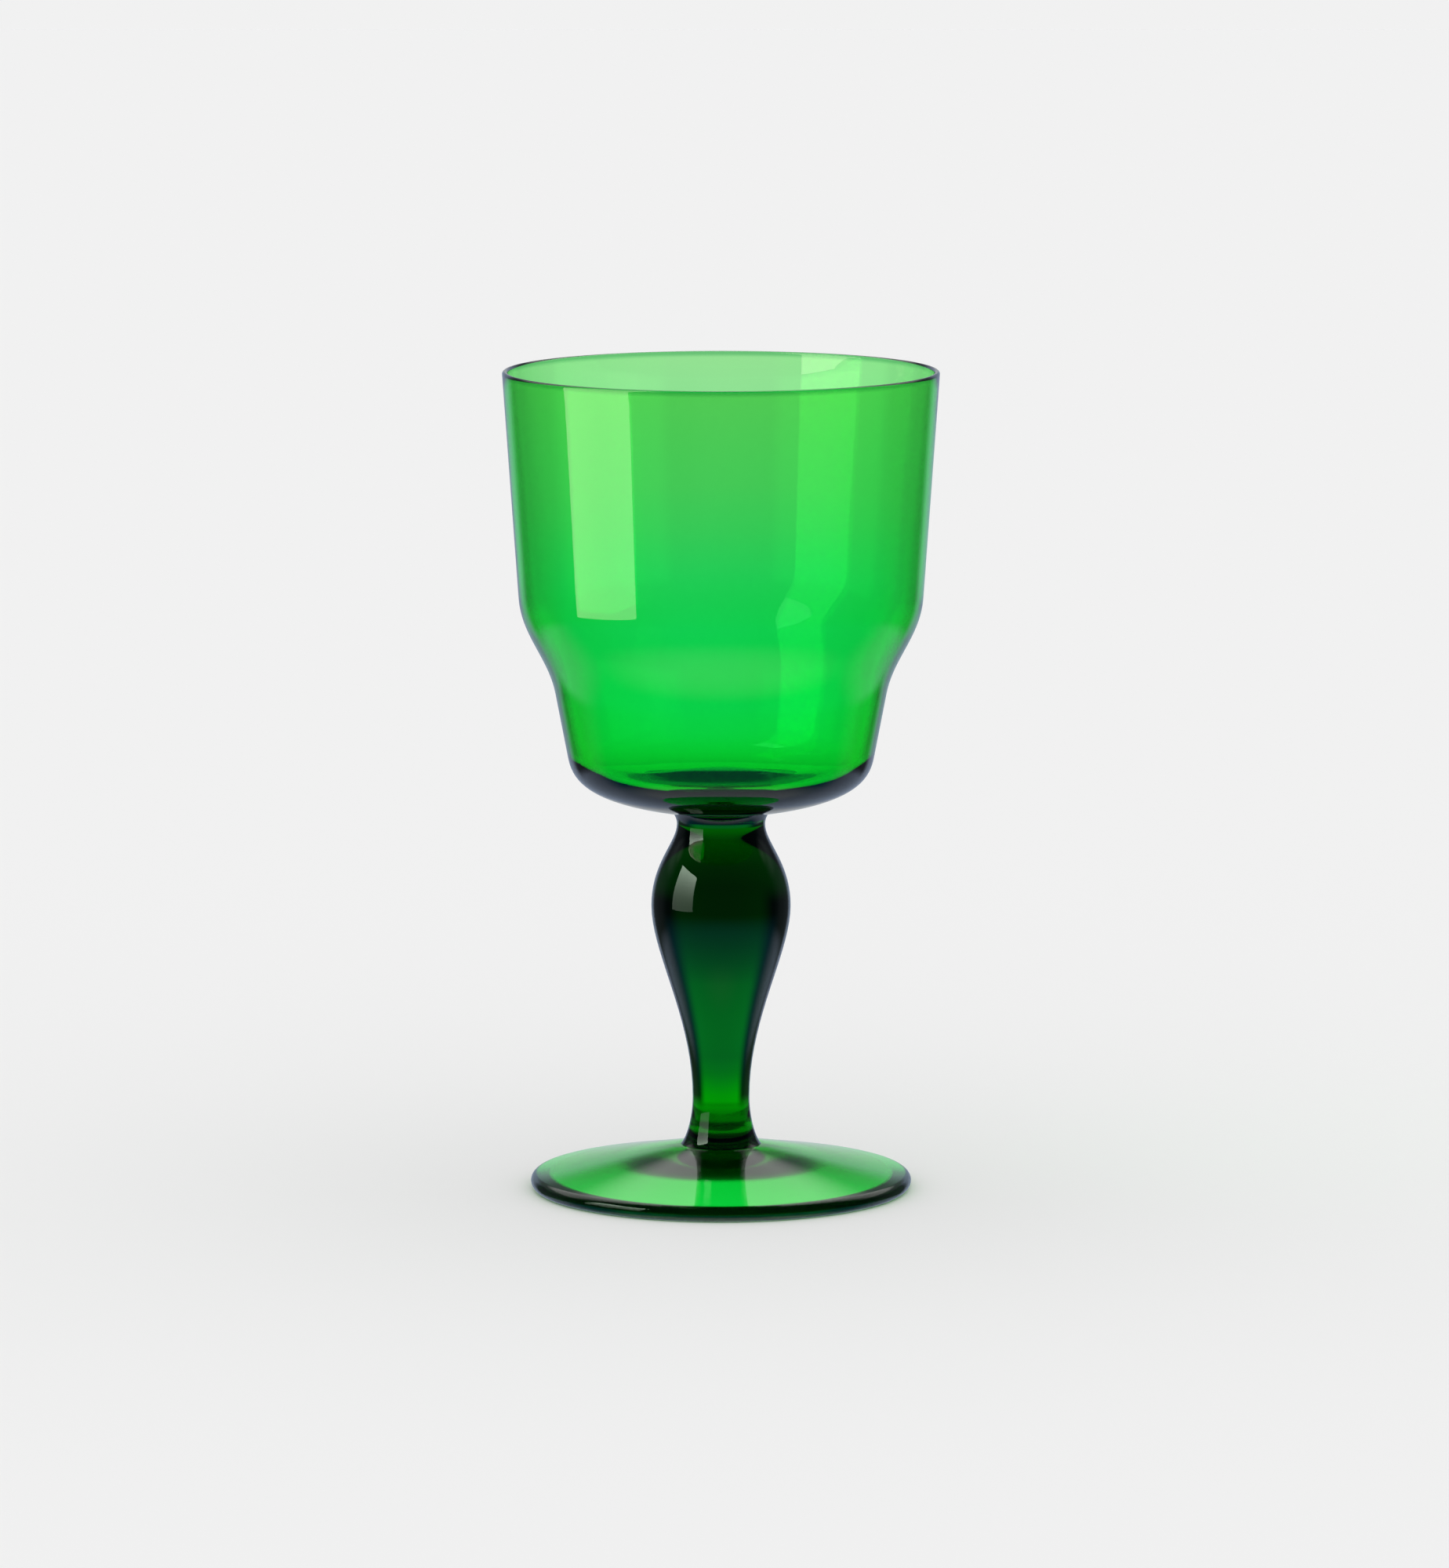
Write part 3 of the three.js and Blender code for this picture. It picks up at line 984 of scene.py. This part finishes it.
# %% What mirrored rays see: a slate sheet, cards, a dark room and a light above
MIRRORED_SHEET = (0.36, 0.44, 0.58, 1.0)
MIRRORED_MIDDLE = (0.53, 0.57, 0.61, 1.0)
MIRRORED_TABLE = (0.7, 0.78, 0.85, 1.0)
MIRRORED_EDGE = (0.03, 0.2, 0.3, 1.0)
MIRRORED_ROOM = (0.012, 0.02, 0.03, 1.0)
MIRRORED_GAP = (0.16, 0.19, 0.2, 1.0)
TABLE_EDGE_DOWN = (0.16, 0.5)
TABLE_DOWN = (0.66, 0.95)
MIDDLE_END = (0.05, 0.16)
NEAR_CARD_FOOT = (-0.24, -0.14)
FAR_CARD_SIDE = (0.42, 0.6)
FAR_CARD_FOOT = (-0.42, -0.3)
GAP = (0.2, 0.34)
TOP_LIGHT = (0.38, 0.5)
FRONT_TO_BACK = (0.1, 0.5)


def seen_mirrored(tree, side, y, z):
    down = maths(tree, "MULTIPLY", z, -1.0)
    front = blend(tree, fade(tree, down, TABLE_EDGE_DOWN), MIRRORED_ROOM, MIRRORED_EDGE)
    front = blend(tree, fade(tree, down, TABLE_DOWN), front, MIRRORED_TABLE)
    straight_back = rest_of(tree, fade(tree, side, MIDDLE_END))
    behind = blend(tree, straight_back, MIRRORED_SHEET, MIRRORED_MIDDLE)
    near = maths(tree, "MULTIPLY", fade(tree, side, CARD_SIDE), fade(tree, z, NEAR_CARD_FOOT))
    far = maths(tree, "MULTIPLY", fade(tree, side, FAR_CARD_SIDE), fade(tree, z, FAR_CARD_FOOT))
    below_top = rest_of(tree, fade(tree, z, CARD_TOP))
    card = maths(tree, "MULTIPLY", maths(tree, "MAXIMUM", near, far), below_top)
    behind = blend(tree, card, behind, CARD_GREY)
    behind = blend(tree, fade(tree, z, GAP), behind, MIRRORED_GAP)
    behind = blend(tree, fade(tree, z, TOP_LIGHT), behind, WHITE)
    return blend(tree, fade(tree, y, FRONT_TO_BACK), front, behind)


print("dark gap from a height of", GAP[0], "up to the top light at", TOP_LIGHT[0])

# %% [markdown]
# ## The world
#
# Light Path tells what kind of ray asks. Matt surfaces get plain white light from all sides, the camera
# sees a pale wall, and rays that the glass bent or mirrored see what the two functions above paint. A
# bent ray counts as glossy too, so the question whether it went through the glass comes first.

# %% The world, by kind of ray
def studio_world():
    world = bpy.data.worlds.new("studio")
    world.use_nodes = True
    tree = world.node_tree
    tree.nodes.clear()
    x, y, z = split(tree, add(tree, "ShaderNodeTexCoord").outputs["Generated"])
    across = maths(tree, "ADD", maths(tree, "MULTIPLY", x, x), maths(tree, "MULTIPLY", y, y))
    side = maths(tree, "DIVIDE", maths(tree, "ABSOLUTE", x), maths(tree, "POWER", across, 0.5))
    ray = add(tree, "ShaderNodeLightPath").outputs
    through = ray["Is Transmission Ray"]
    glass = blend(tree, through, seen_mirrored(tree, side, y, z), seen_through(tree, side, y, z))
    met_glass = maths(tree, "MAXIMUM", ray["Is Glossy Ray"], through)
    lit = blend(tree, met_glass, WHITE, glass)
    light = add(tree, "ShaderNodeBackground")
    feed(tree, light.inputs["Color"], blend(tree, ray["Is Camera Ray"], lit, PALE))
    out = add(tree, "ShaderNodeOutputWorld")
    feed(tree, out.inputs["Surface"], light.outputs[0])
    return world


bpy.context.scene.world = studio_world()
print("world:", len(bpy.context.scene.world.node_tree.nodes), "nodes")

# %% [markdown]
# ## Soft boxes
#
# A tall window to the left and a little in front shows as a bright strip on the front of the bowl, again
# on its far wall, and as a small window on the bulb of the stem. One lamp can't do all three: high
# enough for the bowl, it would climb over the bulb and up the neck. So a tall soft box lights the bowl,
# and a short one that fades downwards, in the same place, lights the stem and the foot. Light linking
# keeps each to its pieces. The floor has light enough from the world, so both stay out of matt shading.

# %% A soft box at the left
SOFT_BOX_AWAY = 0.36
SOFT_BOX_TURN = math.radians(203)
SOFT_BOX_WIDTH = 0.26
SOFT_BOX_LOW = 0.012
SOFT_BOX_RADIANCE = 3.2
FADE_POWER = 2.0
FADE_BASE = 0.3


def fade_downwards(lamp, top_gain):
    """Makes the light fall off from the top of the soft box to its lower end."""
    lamp.use_nodes = True
    tree = lamp.node_tree
    tree.nodes.clear()
    up_the_box = split(tree, add(tree, "ShaderNodeNewGeometry").outputs["Parametric"])["Y"]
    curve = maths(tree, "POWER", up_the_box, FADE_POWER)
    glow = add(tree, "ShaderNodeEmission")
    feed(tree, glow.inputs["Strength"], maths(tree, "MULTIPLY_ADD", curve, top_gain, FADE_BASE))
    out = add(tree, "ShaderNodeOutputLight")
    feed(tree, out.inputs["Surface"], glow.outputs[0])


def soft_box(name, high, lit_pieces, white, top_gain=0.0):
    lamp = bpy.data.lights.new(name, "AREA")
    lamp.shape = "RECTANGLE"
    lamp.size = SOFT_BOX_WIDTH
    lamp.size_y = high - SOFT_BOX_LOW
    lamp.energy = SOFT_BOX_RADIANCE * math.pi * lamp.size * lamp.size_y
    lamp.color = white
    if top_gain:
        fade_downwards(lamp, top_gain)
    box = bpy.data.objects.new(name, lamp)
    box.location = (
        SOFT_BOX_AWAY * math.cos(SOFT_BOX_TURN),
        SOFT_BOX_AWAY * math.sin(SOFT_BOX_TURN),
        (SOFT_BOX_LOW + high) / 2,
    )
    facing = Vector((-box.location.x, -box.location.y, 0.0))
    box.rotation_euler = facing.to_track_quat("-Z", "Y").to_euler()
    box.visible_camera = False
    box.visible_diffuse = False
    bpy.context.scene.collection.objects.link(box)
    lit = bpy.data.collections.new("lit_by_" + name)
    for piece in lit_pieces:
        lit.objects.link(piece)
    box.light_linking.receiver_collection = lit
    print(name, round(lamp.size_y, 3), "m tall lights", [piece.name for piece in lit_pieces])


# %% [markdown]
# ## One soft box for the bowl, one for the stem and foot
#
# The tall one is a warm white, as daylight through a pale curtain is. The short one is brightest at its
# top and has a touch of green, as what the dark stem mirrors has in the photograph.

# %% Place both soft boxes
TALL_BOX_TOP = 0.9
TALL_BOX_WHITE = (1.0, 1.0, 0.75)
SHORT_BOX_TOP = 0.27
SHORT_BOX_WHITE = (0.8, 1.0, 0.8)
SHORT_BOX_GAIN = 1.6

soft_box("tall_soft_box", TALL_BOX_TOP, [bowl], TALL_BOX_WHITE)
soft_box("short_soft_box", SHORT_BOX_TOP, [stem, foot], SHORT_BOX_WHITE, SHORT_BOX_GAIN)

# %% [markdown]
# ## Camera
#
# The rim and the foot show as ellipses of different flatness. Their ratio of height to width gives the
# angle at which each is seen, and the two angles together give how far away and how high the camera
# stood. The lens then follows from the size of the glass in the frame. The axis of the glass stands a
# few pixels left of the middle, so the camera is panned by that much.

# %% The photograph's camera
FRAME_WIDTH, FRAME_HEIGHT = 1848, 2000
CAMERA_AWAY = 1.582
CAMERA_HEIGHT = 0.303
CAMERA_PITCH = math.radians(8.148)
FOCAL_PIXELS = 10911.0
AXIS_PIXEL_X = 919.5
SENSOR_WIDTH = 36.0
NEAREST, FARTHEST = 0.05, 50.0

view = bpy.data.cameras.new("camera")
view.sensor_fit = "AUTO"
view.sensor_width = SENSOR_WIDTH
view.lens = FOCAL_PIXELS / max(FRAME_WIDTH, FRAME_HEIGHT) * SENSOR_WIDTH
view.clip_start = NEAREST
view.clip_end = FARTHEST
camera = bpy.data.objects.new("camera", view)
camera.location = (0.0, -CAMERA_AWAY, CAMERA_HEIGHT)
pan = math.atan((FRAME_WIDTH / 2 - AXIS_PIXEL_X) / FOCAL_PIXELS)
camera.rotation_euler = (math.pi / 2 - CAMERA_PITCH, 0.0, -pan)
bpy.context.scene.collection.objects.link(camera)
bpy.context.scene.camera = camera
bpy.context.scene.view_settings.view_transform = "Standard"
print("camera:", CAMERA_AWAY, "m away, lens", round(view.lens, 1), "mm")
